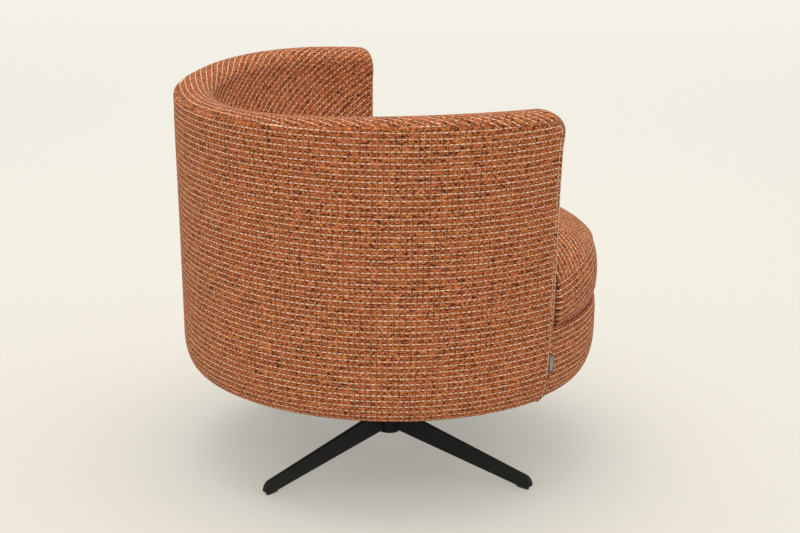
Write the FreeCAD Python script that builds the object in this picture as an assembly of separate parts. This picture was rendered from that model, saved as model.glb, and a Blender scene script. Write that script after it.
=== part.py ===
import FreeCAD, Part
import math
import os

# Upholstered swivel rocker. Millimetres, +Z up, origin on the floor under the column.
# The front of the seat faces -Y. Angles round the tub are counted from the back, +Y, towards +X.

# Fits between pieces
soft_gap = 0.3          # between curved faces of neighbouring pieces
slip_fit = 0.05         # radial, bushes in the column and the upper bracket
running_fit = 0.05      # radial, shafts in their bushes
weld_fit = 0.1          # pieces set against each other for welding
thrust_gap = 0.3        # under a face that turns on another

# Tub: one round padded wall makes the back and both arms, open at the front
tub_radius = 370.0
tub_bottom = 175.0
tub_height = 662.0
rim_width = 66.0
rim_rise = 23.0
rim_tight = 18.0        # smaller radius of the rounded rim
hem_run = 20.0
hem_rise = 53.0
hem_tight = 10.0        # smaller radius of the rounded lower edge
arm_angle = 108.3
arm_corner_run = 50.0
arm_corner_drop = 72.0
arm_corner_tight = 40.0

# Inside of the tub: wall thickness at the arms and at the back, at three heights
platform_height = 297.0
floor_arm_wall = 135.0
seat_line = 460.0
seat_arm_wall = 112.0
seat_back_wall = 150.0
lip_drop = 49.0
lip_arm_wall = 70.0
lip_back_wall = 76.0

# Covers, each with the wadding that is sewn to it
outer_wrap = 29.0
inner_wrap = 12.0
back_foam_thickness = 55.0
apron_wrap = 22.0
seam_drop = 25.0
seam_inset = 9.0
tab_width = 13.0
tab_height = 33.0
tab_thickness = 0.8
tab_foot = 225.0

# Timber frame inside the tub
shell_ply = 10.0
shell_drop = 50.0
shell_angle = 104.0
shell_corner = 60.0
bottom_ply = 12.0
head_opening_x = 190.0
head_opening_y = 230.0
plank_width = 260.0
plank_end_gap = 3.5     # between the plank's corners and the wall
plank_ply = 18.0
ring_ply = 18.0
ring_opening = 400.0
hem_tuck = 2.0
block_count = 8
block_length = 45.0
block_width = 30.0
block_inset = 31.0
dust_cloth = 1.0

# Seat platform
strap_width = 60.0
strap_thickness = 1.5
strap_pitch = 100.0
strap_count = 4
strap_end_gap = 31.0    # between the straps' corners and the wall
felt_thickness = 5.0
platform_cloth = 2.0

# Front apron under the cushion
apron_recess = 13.0
apron_board = 4.0
apron_hem_run = 20.0
apron_hem_rise = 62.0
apron_top_round = 10.0
apron_top_tight = 9.0

# Loose cushion, a crowned form with a shoulder, a drawn-in foot and ears in front of the arms
cushion_recess = 11.0
cushion_thickness = 171.0
cushion_crown = 9.0
cushion_crest_share = 0.4   # level part of the crown, out of the width between its shoulders
cushion_shoulder_in = 66.0
cushion_shoulder_bulge = 13.0
cushion_side_bulge = 5.0
cushion_seam_rise = 95.0
cushion_seam_in = 3.0
cushion_foot_in = 7.0
cushion_wall_gap = 1.5
cushion_arm_gap = 3.0
pillow_edge_run = 40.0
pillow_edge_drop = 34.0
core_inset = 22.0
core_foot = 8.0

# Rounded forms are turned from short straight bands, this many to each arc
arc_bands = 2
shoulder_bands = 3

# Rocker head
pivot_height = 190.0
axle_radius = 6.0
axle_overhang = 7.0
clip_thickness = 1.2
clip_width = 3.5
clip_groove = 1.0
sheet = 5.0
fold_radius = 7.0
head_length = 190.0
head_half_width = 72.5
ear_half_base = 55.0
ear_radius = 17.0
upper_half_width = 62.0
upper_rise = 24.0
upper_half_base = 46.0
upper_ear_radius = 15.0
pivot_bush_wall = 3.0
buffer_offset = 74.0
buffer_width = 44.0
buffer_depth = 34.0
buffer_waist = 4.0
bolt_radius = 4.0
bolt_hole_fit = 0.5
bolt_spread_x = 80.0
bolt_spread_y = 156.0
bolt_head_width = 13.0
bolt_head_height = 5.3
bolt_end = 1.0          # past the nut
plate_nut_width = 20.0
plate_nut_height = 5.0

# Column
column_radius = 19.0
column_wall = 3.5
column_foot = 25.0
column_top = 150.0
cap_thickness = 6.0
spindle_radius = 12.5
spindle_foot = 37.0
bush_length = 20.0
lower_bush_foot = 47.0
bush_flange = 2.0
circlip_thickness = 1.5
circlip_groove = 0.9
circlip_gap_angle = 50.0

# Star base of flat bars on edge
leg_count = 4
leg_turn = 22.13        # first leg, counted from +X
leg_thickness = 8.0
leg_reach = 318.0
leg_root_top = 70.0
leg_root_bottom = 33.5
leg_tip_top = 21.5
leg_tip_round = 15.0
leg_toe = 5.0           # chamfer under the tip
foot_length = 25.0
glide_thickness = 3.0
glide_inset = 0.3

# Sizes that follow from the ones above
rim_spring = tub_height - rim_rise
rim_centre = tub_radius - rim_width / 2
shell_outer = tub_radius - outer_wrap
shell_inner = shell_outer - shell_ply
shell_top = tub_height - shell_drop
disc_radius = shell_inner - soft_gap
board_bottom = tub_bottom + hem_tuck
board_top = board_bottom + bottom_ply
felt_bottom = platform_height - platform_cloth - felt_thickness
ring_top = felt_bottom - 2 * strap_thickness
ring_bottom = ring_top - ring_ply
upper_plate_bottom = pivot_height + upper_rise
plank_bottom = upper_plate_bottom + sheet
plank_top = plank_bottom + plank_ply
apron_radius = tub_radius - apron_recess
apron_inner = apron_radius - apron_wrap
cushion_radius = tub_radius - cushion_recess
cushion_top = platform_height + cushion_thickness
seam_height = platform_height + cushion_seam_rise
well_shift = seat_arm_wall - seat_back_wall
column_bore = column_radius - column_wall
bush_top = column_top + bush_flange
plate_bottom = bush_top + thrust_gap
plate_top = plate_bottom + sheet
leg_half = leg_thickness / 2
far = 4 * tub_radius


def at(x, y, z):
    return FreeCAD.Vector(x, y, z)


up = at(0, 0, 1)
origin = at(0, 0, 0)


def line(a, b):
    return Part.LineSegment(a, b).toShape()


def bulged(a, b, bulge, bands):
    """Points of an arc from a to b in an XZ plane that stands off its chord on the right."""
    chord = b - a
    half = chord.Length / 2
    radius = (half ** 2 + bulge ** 2) / (2 * bulge)
    right = at(chord.z, 0, -chord.x).normalize()
    centre = (a + b) * 0.5 + right * (bulge - radius)
    sweep = 2 * math.asin(half / radius)
    first = a - centre
    points = []
    for index in range(bands + 1):
        angle = sweep * index / bands
        points.append(centre + at(first.x * math.cos(angle) - first.z * math.sin(angle), 0,
                                  first.x * math.sin(angle) + first.z * math.cos(angle)))
    return points


def chain(points):
    return [line(a, b) for a, b in zip(points, points[1:])]


def face_of(edges):
    return Part.Face(Part.Wire(Part.__sortEdges__(edges)))


def outline(points):
    """Face with the given corners, in order."""
    return Part.Face(Part.Wire(chain(points + points[:1])))


def turned(points):
    """Solid of revolution about Z of an outline drawn in the XZ plane."""
    return outline(points).revolve(origin, up, 360)


def ring(inner, outer, bottom, top):
    return turned([at(inner, 0, bottom), at(outer, 0, bottom), at(outer, 0, top), at(inner, 0, top)])


def disc(radius, bottom, top, x=0.0, y=0.0):
    return Part.makeCylinder(radius, top - bottom, at(x, y, bottom))


def rod_x(radius, start, end):
    """Cylinder along X on the rocker's axis."""
    return Part.makeCylinder(radius, end - start, at(start, 0, pivot_height), at(1, 0, 0))


def block(x0, x1, y0, y1, z0, z1):
    return Part.makeBox(x1 - x0, y1 - y0, z1 - z0, at(x0, y0, z0))


def group(solids):
    return Part.makeCompound(solids)


def solids_of(shape):
    """Solids of a shape, largest first."""
    return sorted(shape.Solids, key=lambda solid: -solid.Volume)


def rounded_corner(centre, side, top, tight, inset, x_sign, z_sign):
    """Points from centre + side along X round to centre + top along Z, on two tangent arcs.

    Any inset keeps the arcs' centres, so layers drawn with different insets stay parallel."""
    major = max(side, top)
    minor = min(side, top)
    spans = [((0, 0), major, 0, math.pi / 2)]
    if major > minor:
        wide = (major ** 2 + minor ** 2 - 2 * major * tight) / (2 * (minor - tight))
        joint = math.atan2(wide - minor, major - tight)
        if side > top:
            spans = [((side - tight, 0), tight, 0, joint),
                     ((0, top - wide), wide, joint, math.pi / 2)]
        else:
            joint = math.pi / 2 - joint
            spans = [((side - wide, 0), wide, 0, joint),
                     ((0, top - tight), tight, joint, math.pi / 2)]
    points = []
    for middle, radius, start, end in spans:
        for index in range(arc_bands):
            points.append((middle, radius, start + (end - start) * index / arc_bands))
    points.append((spans[-1][0], spans[-1][1], math.pi / 2))
    corner = []
    for middle, radius, angle in points:
        x = middle[0] + (radius - inset) * math.cos(angle)
        z = middle[1] + (radius - inset) * math.sin(angle)
        corner.append(centre + at(x_sign * x, 0, z_sign * z))
    return corner


def opening_wedge(angle, inset):
    """Space in front of two ends at plus and minus angle, grown by inset into what they end."""
    half = math.radians(180 - angle)
    apex = inset / math.sin(half)
    reach_x = far * math.sin(half)
    reach_y = far * math.cos(half)
    points = [at(0, apex, 0), at(-reach_x, apex - reach_y, 0), at(reach_x, apex - reach_y, 0)]
    return outline(points).extrude(at(0, 0, far))


def front_wedge(inset):
    return opening_wedge(arm_angle, inset)


def end_corners(angle, run, drop, tight, height, inset):
    """Tools that round the top corner at both ends of a wall that stops at plus and minus angle."""
    foot = height - drop
    points = rounded_corner(at(-run, 0, foot), run, drop, tight, inset, 1, 1)
    points += [at(-run, 0, height + drop), at(run, 0, height + drop), at(run, 0, foot)]
    tool = outline(points).extrude(at(0, 2 * tub_radius, 0))
    tools = []
    for side in (1, -1):
        end_tool = tool.copy() if side > 0 else tool.mirror(origin, at(1, 0, 0))
        end_tool.rotate(origin, up, -side * angle)
        tools.append(end_tool)
    return tools


def arm_corners(inset):
    return end_corners(arm_angle, arm_corner_run, arm_corner_drop, arm_corner_tight,
                       tub_height, inset)


def well_radius(height):
    """Radius of the space between the arms, from the platform up to the seat line."""
    floor = tub_radius - floor_arm_wall
    share = (height - platform_height) / (seat_line - platform_height)
    return floor + share * (floor_arm_wall - seat_arm_wall)


def well():
    """Space inside the tub above the platform."""
    lower = Part.makeCone(well_radius(platform_height), well_radius(seat_line),
                          seat_line - platform_height, at(0, well_shift, platform_height))
    levels = [(seat_line, seat_arm_wall, seat_back_wall),
              (rim_spring - lip_drop, lip_arm_wall, lip_back_wall),
              (rim_spring, rim_width, rim_width)]
    circles = []
    for height, arm_wall, back_wall in levels:
        circle = Part.makeCircle(tub_radius - arm_wall, at(0, arm_wall - back_wall, height))
        circles.append(Part.Wire(circle))
    return lower.fuse(Part.makeLoft(circles, True, True))


def tub_wall():
    """The whole padded wall of back and arms as one closed form."""
    core = tub_radius / 2
    rim = at(rim_centre, 0, rim_spring)
    hem = at(tub_radius - hem_run, 0, tub_bottom + hem_rise)
    points = rounded_corner(hem, hem_run, hem_rise, hem_tight, 0, 1, -1)[::-1]
    points += rounded_corner(rim, rim_width / 2, rim_rise, rim_tight, 0, 1, 1)
    points += rounded_corner(rim, rim_width / 2, rim_rise, rim_tight, 0, -1, 1)[-2::-1]
    points += [at(core, 0, rim_spring), at(core, 0, platform_height),
               at(shell_inner, 0, platform_height), at(shell_inner, 0, tub_bottom)]
    wall = turned(points).cut(front_wedge(0))
    for tool in arm_corners(0):
        wall = wall.cut(tool)
    return wall.cut(well())


def shell_board():
    """Bent plywood of the back and arms."""
    board = ring(shell_inner, shell_outer, board_bottom, shell_top)
    board = board.cut(opening_wedge(shell_angle, 0))
    for tool in end_corners(shell_angle, shell_corner, shell_corner, 0, shell_top, 0):
        board = board.cut(tool)
    return board


def shell_slot():
    """Room for the bent plywood inside the covers."""
    slot = ring(disc_radius, shell_outer + soft_gap, board_bottom, shell_top + soft_gap)
    return slot.cut(opening_wedge(shell_angle, -soft_gap))


def back_foam():
    """Cut foam inside the plywood, hooked over its top edge."""
    inside = disc_radius - back_foam_thickness
    step = shell_top + soft_gap
    crown = tub_height - inner_wrap
    points = [at(inside, 0, platform_height), at(disc_radius, 0, platform_height),
              at(disc_radius, 0, step), at(tub_radius - inner_wrap, 0, step),
              at(tub_radius - inner_wrap, 0, crown),
              at(tub_radius - rim_width + inner_wrap, 0, crown), at(inside, 0, seat_line)]
    foam = turned(points).cut(front_wedge(inner_wrap))
    for tool in arm_corners(inner_wrap):
        foam = foam.cut(tool)
    return foam


def make_tub():
    foam = back_foam()
    covers = tub_wall().cut(shell_slot()).cut(foam)
    outside = ring(disc_radius, tub_radius + sheet, 0, tub_height - seam_drop)
    outside = outside.cut(front_wedge(seam_inset))
    return {
        "outer_cover": covers.common(outside),
        "inner_cover": covers.cut(outside),
        "back_foam": foam,
        "back_shell": shell_board(),
    }


def apron_form():
    """Padded front panel below the cushion, with its rounded lower and upper edges."""
    hem = at(apron_radius - apron_hem_run, 0, tub_bottom + apron_hem_rise)
    top = at(apron_radius - apron_top_round, 0, platform_height - apron_top_round)
    points = rounded_corner(hem, apron_hem_run, apron_hem_rise, hem_tight, 0, 1, -1)[::-1]
    points += rounded_corner(top, apron_top_round, apron_top_round, apron_top_tight, 0, 1, 1)
    points += [at(apron_inner, 0, platform_height), at(apron_inner, 0, tub_bottom)]
    return turned(points).common(front_wedge(-soft_gap))


def make_apron():
    board = ring(shell_inner, shell_inner + apron_board, board_bottom, ring_top)
    cloth = disc(apron_inner, platform_height - platform_cloth, platform_height)
    return {
        "apron_cover": apron_form(),
        "apron_board": board.common(front_wedge(-soft_gap)),
        "platform_cover": cloth.common(disc(disc_radius, 0, far).fuse(front_wedge(-soft_gap))),
    }


def seam_tab():
    """Blank woven tab, sewn into the near arm's front seam and lying on the apron."""
    inner = apron_radius + soft_gap
    band = ring(inner, inner + tab_thickness, tab_foot, tab_foot + tab_height)
    side = math.radians(arm_angle)
    start = at(-math.sin(side), math.cos(side), 0) * inner
    slab = block(0, tab_width, -inner / 2, inner / 2, tab_foot, tab_foot + tab_height)
    slab.rotate(origin, up, math.degrees(math.atan2(-math.sin(side), -math.cos(side))))
    slab.translate(at(start.x, start.y, 0))
    return band.common(slab)


def round_board(bottom, top, opening_x, opening_y):
    """Disc of board with a rectangular opening in its middle."""
    hole = block(-opening_x / 2, opening_x / 2, -opening_y / 2, opening_y / 2, bottom, top)
    return disc(disc_radius, bottom, top).cut(hole)


def spacer_blocks(bottom, top, indexes):
    blocks = []
    middle = disc_radius - block_inset
    for index in indexes:
        piece = block(middle - block_width / 2, middle + block_width / 2,
                      -block_length / 2, block_length / 2, bottom, top)
        piece.rotate(origin, up, (index + 0.5) * 360 / block_count)
        blocks.append(piece)
    return group(blocks)


def half_chord(radius, offset):
    return math.sqrt(radius ** 2 - offset ** 2)


def straps(along_x, bottom):
    bands = []
    for index in range(strap_count):
        offset = (index - (strap_count - 1) / 2) * strap_pitch
        half = half_chord(disc_radius - strap_end_gap, abs(offset) + strap_width / 2)
        low = offset - strap_width / 2
        high = offset + strap_width / 2
        if along_x:
            bands.append(block(-half, half, low, high, bottom, bottom + strap_thickness))
        else:
            bands.append(block(low, high, -half, half, bottom, bottom + strap_thickness))
    return group(bands)


def make_frame():
    half_width = plank_width / 2
    half_length = half_chord(disc_radius - plank_end_gap, half_width)
    plank = block(-half_width, half_width, -half_length, half_length, plank_bottom, plank_top)
    for x, y in bolt_places():
        plank = plank.cut(disc(bolt_radius + bolt_hole_fit, plank_bottom, plank_top, x, y))
    near_plank = [index for index in range(block_count)
                  if abs(math.cos((index + 0.5) * 2 * math.pi / block_count)) < math.sqrt(0.5)]
    beside_plank = [index for index in range(block_count) if index not in near_plank]
    return {
        "bottom_board": round_board(board_bottom, board_top, head_opening_x, head_opening_y),
        "lower_blocks": spacer_blocks(board_top, plank_bottom, near_plank),
        "seat_plank": plank,
        "upper_blocks": spacer_blocks(plank_top, ring_bottom, near_plank),
        "seat_posts": spacer_blocks(board_top, ring_bottom, beside_plank),
        "seat_ring": round_board(ring_bottom, ring_top, ring_opening, ring_opening),
        "webbing_long": straps(False, ring_top),
        "webbing_cross": straps(True, ring_top + strap_thickness),
        "platform_felt": disc(disc_radius, felt_bottom, felt_bottom + felt_thickness),
        "dust_cover": round_board(tub_bottom - dust_cloth, tub_bottom,
                                  head_opening_x, head_opening_y),
    }


def cushion_outline():
    """Half section of the cushion: foot, side, shoulder and the crown up to the axis."""
    foot = at(cushion_radius - cushion_foot_in, 0, platform_height)
    seam = at(cushion_radius - cushion_seam_in, 0, seam_height)
    shoulder = at(cushion_radius - cushion_shoulder_in, 0, cushion_top - cushion_crown)
    crest = at(shoulder.x * cushion_crest_share, 0, cushion_top)
    points = [at(0, 0, platform_height)]
    points += bulged(foot, seam, cushion_side_bulge, arc_bands)
    points += bulged(seam, shoulder, cushion_shoulder_bulge, shoulder_bands)[1:]
    return points + [crest, at(0, 0, cushion_top)]


def pillow_inside():
    """Part of the cushion between the arms, with its edge rounded down towards the wall."""
    edge_height = cushion_top - cushion_crown / 2
    side_height = edge_height - pillow_edge_drop
    foot = at(well_radius(platform_height) - cushion_wall_gap, 0, platform_height)
    side = at(well_radius(side_height) - cushion_wall_gap, 0, side_height)
    edge = at(side.x - pillow_edge_run, 0, edge_height)
    points = [at(0, 0, platform_height), foot]
    points += bulged(side, edge, pillow_edge_drop / 4, arc_bands)
    points.append(at(0, 0, cushion_top + cushion_thickness))
    pillow = turned(points)
    pillow.translate(at(0, well_shift, 0))
    return pillow


def cushion_filling(gap):
    """Cut foam inside the cushion, grown by gap."""
    bottom = platform_height + core_foot
    top = cushion_top - cushion_crown - core_inset
    between = disc(tub_radius - floor_arm_wall - core_inset + gap, bottom - gap, top + gap,
                   0, well_shift)
    ears = disc(cushion_radius - core_inset + gap, bottom - gap, top + gap)
    ears = ears.common(front_wedge(gap - cushion_arm_gap - core_inset))
    return between.fuse(ears).removeSplitter()


def make_cushion():
    whole = turned(cushion_outline())
    ears = whole.common(front_wedge(-cushion_arm_gap))
    cushion = whole.common(pillow_inside().fuse(ears)).cut(cushion_filling(soft_gap))
    below_seam = disc(far, 0, seam_height)
    return {
        "cushion_core": cushion_filling(0),
        "cushion_boxing": cushion.common(below_seam),
        "cushion_top_panel": cushion.cut(below_seam),
    }


def bolt_places():
    return [(sx * bolt_spread_x / 2, sy * bolt_spread_y / 2) for sx in (-1, 1) for sy in (-1, 1)]


def pivot_channel(half_width, plate_low, plate_high, half_base, boss_radius):
    """Folded U of sheet: a flat plate and two ears that reach to the axle, above it or below it."""
    upward = plate_high < pivot_height
    plate_outer = plate_low if upward else plate_high
    plate_inner = plate_high if upward else plate_low
    sign = 1 if upward else -1
    tip = pivot_height + sign * boss_radius
    half_length = head_length / 2
    corner = fold_radius - sheet
    outer_bend = fold_radius * (1 - math.sqrt(0.5))
    inner_bend = corner * (1 - math.sqrt(0.5))
    inner = half_width - sheet
    edges = chain([at(half_width, 0, plate_outer + sign * fold_radius), at(half_width, 0, tip),
                   at(inner, 0, tip), at(inner, 0, plate_inner + sign * corner)])
    edges.append(Part.Arc(at(inner, 0, plate_inner + sign * corner),
                          at(inner - inner_bend, 0, plate_inner + sign * inner_bend),
                          at(inner - corner, 0, plate_inner)).toShape())
    edges += chain([at(inner - corner, 0, plate_inner), at(0, 0, plate_inner),
                    at(0, 0, plate_outer), at(half_width - fold_radius, 0, plate_outer)])
    edges.append(Part.Arc(at(half_width - fold_radius, 0, plate_outer),
                          at(half_width - outer_bend, 0, plate_outer + sign * outer_bend),
                          at(half_width, 0, plate_outer + sign * fold_radius)).toShape())
    half = face_of(edges).extrude(at(0, head_length, 0))
    half.translate(at(0, -half_length, 0))
    channel = half.fuse(half.mirror(origin, at(1, 0, 0))).removeSplitter()
    fold = plate_inner + sign * corner
    rise = abs(pivot_height - fold)
    reach = math.hypot(half_base, rise)
    lean = math.asin(boss_radius / reach) + math.atan2(rise, half_base)
    touch_y = boss_radius * math.sin(lean)
    touch_z = sign * boss_radius * math.cos(lean)
    ear = chain([at(0, -touch_y, pivot_height + touch_z), at(0, -half_base, fold),
                 at(0, -half_length, fold), at(0, -half_length, plate_outer - sign * sheet),
                 at(0, half_length, plate_outer - sign * sheet), at(0, half_length, fold),
                 at(0, half_base, fold), at(0, touch_y, pivot_height + touch_z)])
    ear.append(Part.Arc(at(0, -touch_y, pivot_height + touch_z), at(0, 0, tip),
                        at(0, touch_y, pivot_height + touch_z)).toShape())
    profile = face_of(ear).extrude(at(2 * half_width, 0, 0))
    profile.translate(at(-half_width, 0, 0))
    return channel.common(profile)


def make_rocker_head():
    swivel = pivot_channel(head_half_width, plate_bottom, plate_top, ear_half_base, ear_radius)
    swivel = swivel.cut(rod_x(axle_radius + slip_fit, -head_half_width, head_half_width))
    swivel = swivel.cut(disc(spindle_radius + weld_fit, plate_bottom, plate_top))
    bush_outer = axle_radius + running_fit + pivot_bush_wall
    upper = pivot_channel(upper_half_width, upper_plate_bottom, plank_bottom,
                          upper_half_base, upper_ear_radius)
    upper = upper.cut(rod_x(bush_outer + slip_fit, -upper_half_width, upper_half_width))
    for x, y in bolt_places():
        upper = upper.cut(disc(bolt_radius + bolt_hole_fit, upper_plate_bottom, plank_bottom, x, y))
    bushes = []
    for side in (-1, 1):
        low, high = sorted((side * (upper_half_width - sheet),
                            side * (head_half_width - sheet - soft_gap)))
        bush = rod_x(bush_outer, low, high)
        bushes.append(bush.cut(rod_x(axle_radius + running_fit, low, high)))
    pieces = {
        "swivel_bracket": swivel,
        "upper_bracket": upper,
        "pivot_bushes": group(bushes),
        "rocker_buffer_front": rubber_buffer(-buffer_offset),
        "rocker_buffer_rear": rubber_buffer(buffer_offset),
    }
    pieces.update(make_plank_bolts())
    return pieces


def make_axle():
    """Axle with a groove and an open clip outside each ear."""
    end = head_half_width + axle_overhang
    axle = rod_x(axle_radius, -end, end)
    groove_radius = axle_radius - clip_groove
    clips = []
    for side in (-1, 1):
        inner_face = side * (head_half_width + soft_gap)
        low, high = sorted((inner_face, inner_face + side * clip_thickness))
        axle = axle.cut(rod_x(2 * axle_radius, low, high).cut(rod_x(groove_radius, low, high)))
        clip = rod_x(axle_radius + clip_width, low, high).cut(rod_x(groove_radius, low, high))
        mouth = block(low, high, -clip_width, clip_width, pivot_height - 3 * axle_radius, pivot_height)
        clips.append(clip.cut(mouth))
    return axle, clips


def rubber_buffer(y):
    """Rubber block with a waist, on the swivel bracket and just under the upper one."""
    top = upper_plate_bottom - soft_gap
    middle = (plate_top + top) / 2
    half = buffer_depth / 2
    waist = half - buffer_waist
    rubber = outline([at(0, -half, plate_top), at(0, half, plate_top), at(0, waist, middle),
                      at(0, half, top), at(0, -half, top), at(0, -waist, middle)])
    rubber = rubber.extrude(at(buffer_width, 0, 0))
    rubber.translate(at(-buffer_width / 2, y, 0))
    return rubber


def hexagon(width, bottom, top, x, y):
    radius = width / math.sqrt(3)
    points = []
    for index in range(6):
        angle = index * math.pi / 3
        points.append(at(x + radius * math.cos(angle), y + radius * math.sin(angle), bottom))
    return outline(points).extrude(at(0, 0, top - bottom))


def make_plank_bolts():
    bolts = []
    nuts = []
    half = plate_nut_width / 2
    nut_top = plank_top + plate_nut_height
    for x, y in bolt_places():
        head = hexagon(bolt_head_width, upper_plate_bottom - bolt_head_height, upper_plate_bottom, x, y)
        bolts.append(head.fuse(disc(bolt_radius, upper_plate_bottom, nut_top + bolt_end, x, y)))
        nut = block(x - half, x + half, y - half, y + half, plank_top, nut_top)
        nuts.append(nut.cut(disc(bolt_radius + slip_fit, plank_top, nut_top, x, y)))
    return {"plank_bolts": group(bolts), "plate_nuts": group(nuts)}


def make_column():
    """Column with its bearing pieces, and the spindle and axle with the clips that hold them."""
    axle, clips = make_axle()
    bush_bore = spindle_radius + running_fit
    bush_outer = column_bore - slip_fit
    flange = column_radius - slip_fit
    flanged = turned([at(bush_bore, 0, column_top - bush_length),
                      at(bush_outer, 0, column_top - bush_length), at(bush_outer, 0, column_top),
                      at(flange, 0, column_top), at(flange, 0, bush_top), at(bush_bore, 0, bush_top)])
    plain = ring(bush_bore, bush_outer, lower_bush_foot, lower_bush_foot + bush_length)
    groove_top = lower_bush_foot - thrust_gap
    groove_bottom = groove_top - circlip_thickness
    groove_radius = spindle_radius - circlip_groove
    corners = [(0, spindle_foot), (spindle_radius, spindle_foot),
               (spindle_radius, groove_bottom), (groove_radius, groove_bottom),
               (groove_radius, groove_top), (spindle_radius, groove_top),
               (spindle_radius, plate_top), (0, plate_top)]
    circlip = ring(groove_radius, (bush_bore + bush_outer) / 2, groove_bottom, groove_top)
    half_gap = math.radians(circlip_gap_angle / 2)
    mouth = [origin, at(column_radius * math.sin(half_gap), column_radius * math.cos(half_gap), 0),
             at(-column_radius * math.sin(half_gap), column_radius * math.cos(half_gap), 0)]
    return {
        "hub_column": ring(column_bore, column_radius, column_foot, column_top),
        "column_cap": disc(bush_outer, column_foot, column_foot + cap_thickness),
        "column_bushes": group([plain, flanged]),
        "spindle": turned([at(r, 0, z) for r, z in corners]),
        "rocker_axle": axle,
        "retaining_clips": group(clips + [circlip.cut(outline(mouth).extrude(at(0, 0, far)))]),
    }


def leg_bar():
    """One flat bar on edge, tapering from the column to a rounded tip with a flat foot."""
    foot_end = leg_reach - leg_toe
    foot_start = foot_end - foot_length
    fall = (leg_root_top - leg_tip_top) / (leg_reach - column_radius)
    slope = math.atan(fall)
    setback = leg_tip_round * math.tan((math.pi / 2 - slope) / 2)
    corner = at(leg_reach, 0, leg_tip_top)
    along = at(-math.cos(slope), 0, math.sin(slope))
    round_start = corner + along * setback
    round_end = corner + at(0, 0, -setback)
    centre = round_end + at(-leg_tip_round, 0, 0)
    round_middle = centre + (corner - centre).normalize() * leg_tip_round
    root_top = at(0, 0, leg_root_top + fall * column_radius)
    root_bottom = at(0, 0, leg_root_bottom)
    edges = chain([root_bottom, root_top, round_start])
    edges.append(Part.Arc(round_start, round_middle, round_end).toShape())
    edges += chain([round_end, at(leg_reach, 0, glide_thickness + leg_toe),
                    at(foot_end, 0, glide_thickness), at(foot_start, 0, glide_thickness),
                    root_bottom])
    bar = face_of(edges).extrude(at(0, leg_thickness, 0))
    bar.translate(at(0, -leg_half, 0))
    return bar.cut(disc(column_radius + weld_fit, 0, tub_bottom))


def glide_pad():
    foot_end = leg_reach - leg_toe
    middle = foot_end - foot_length / 2
    half_width = leg_half - glide_inset
    half_run = foot_length / 2 - half_width
    pad = block(middle - half_run, middle + half_run, -half_width, half_width, 0, glide_thickness)
    for end in (middle - half_run, middle + half_run):
        pad = pad.fuse(disc(half_width, 0, glide_thickness, end, 0))
    return pad.removeSplitter()


def make_star():
    pieces = {}
    for index in range(leg_count):
        for name, shape in (("leg", leg_bar()), ("glide", glide_pad())):
            shape.rotate(origin, up, leg_turn + index * 360 / leg_count)
            pieces["%s_%d" % (name, index + 1)] = shape
    return pieces


def main():
    os.makedirs("parts", exist_ok=True)
    pieces = {}
    for maker in (make_star, make_column, make_rocker_head, make_frame, make_tub, make_apron,
                  make_cushion):
        pieces.update(maker())
    pieces["seam_tab"] = seam_tab()
    for name, shape in pieces.items():
        solids = solids_of(shape)
        if not shape.isValid() or not solids:
            raise ValueError("%s is not a valid solid" % name)
        result = solids[0] if len(solids) == 1 else Part.makeCompound(solids)
        result.exportStep("parts/%s.step" % name)
        print(name, len(solids), round(shape.Volume / 1000.0, 2))


main()
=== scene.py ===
import math

import bmesh
import bpy
import numpy as np
from mathutils import Matrix, Vector


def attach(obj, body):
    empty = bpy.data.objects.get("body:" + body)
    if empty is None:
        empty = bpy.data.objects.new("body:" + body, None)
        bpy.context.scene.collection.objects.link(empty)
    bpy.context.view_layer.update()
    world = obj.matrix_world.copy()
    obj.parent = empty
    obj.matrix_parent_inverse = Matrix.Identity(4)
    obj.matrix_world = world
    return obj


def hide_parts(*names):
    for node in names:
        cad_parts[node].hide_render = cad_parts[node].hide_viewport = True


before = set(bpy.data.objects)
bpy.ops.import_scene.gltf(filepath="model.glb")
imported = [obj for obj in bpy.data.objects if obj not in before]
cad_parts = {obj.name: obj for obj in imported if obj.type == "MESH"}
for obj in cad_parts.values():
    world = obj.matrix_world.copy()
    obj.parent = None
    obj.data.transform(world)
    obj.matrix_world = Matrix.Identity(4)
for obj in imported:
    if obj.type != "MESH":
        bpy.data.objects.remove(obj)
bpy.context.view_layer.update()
print("frame loaded,", len(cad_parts), "nodes")

# Metres throughout. The front of the seat faces -Y. Angles round the tub are counted from
# the back, +Y, towards +X.


# Shader kit

class Value:
    # a number socket in a shader; arithmetic on it adds Math nodes
    def __init__(self, shader, socket):
        self.shader = shader
        self.socket = socket

    def math(self, operation, *others):
        return self.shader.math(operation, self, *others)

    def __add__(self, other):
        return self.math("ADD", other)

    def __sub__(self, other):
        return self.math("SUBTRACT", other)

    def __rsub__(self, other):
        return self.shader.math("SUBTRACT", other, self)

    def __mul__(self, other):
        return self.math("MULTIPLY", other)

    def __truediv__(self, other):
        return self.math("DIVIDE", other)

    def __rtruediv__(self, other):
        return self.shader.math("DIVIDE", other, self)

    def __mod__(self, other):
        return self.math("FLOORED_MODULO", other)

    def __abs__(self):
        return self.math("ABSOLUTE")

    __radd__ = __add__
    __rmul__ = __mul__

    def ridge(self):
        # 1 at every whole number, falling evenly to 0 halfway between
        return abs((self % 1.0) - 0.5) * 2.0


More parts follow.
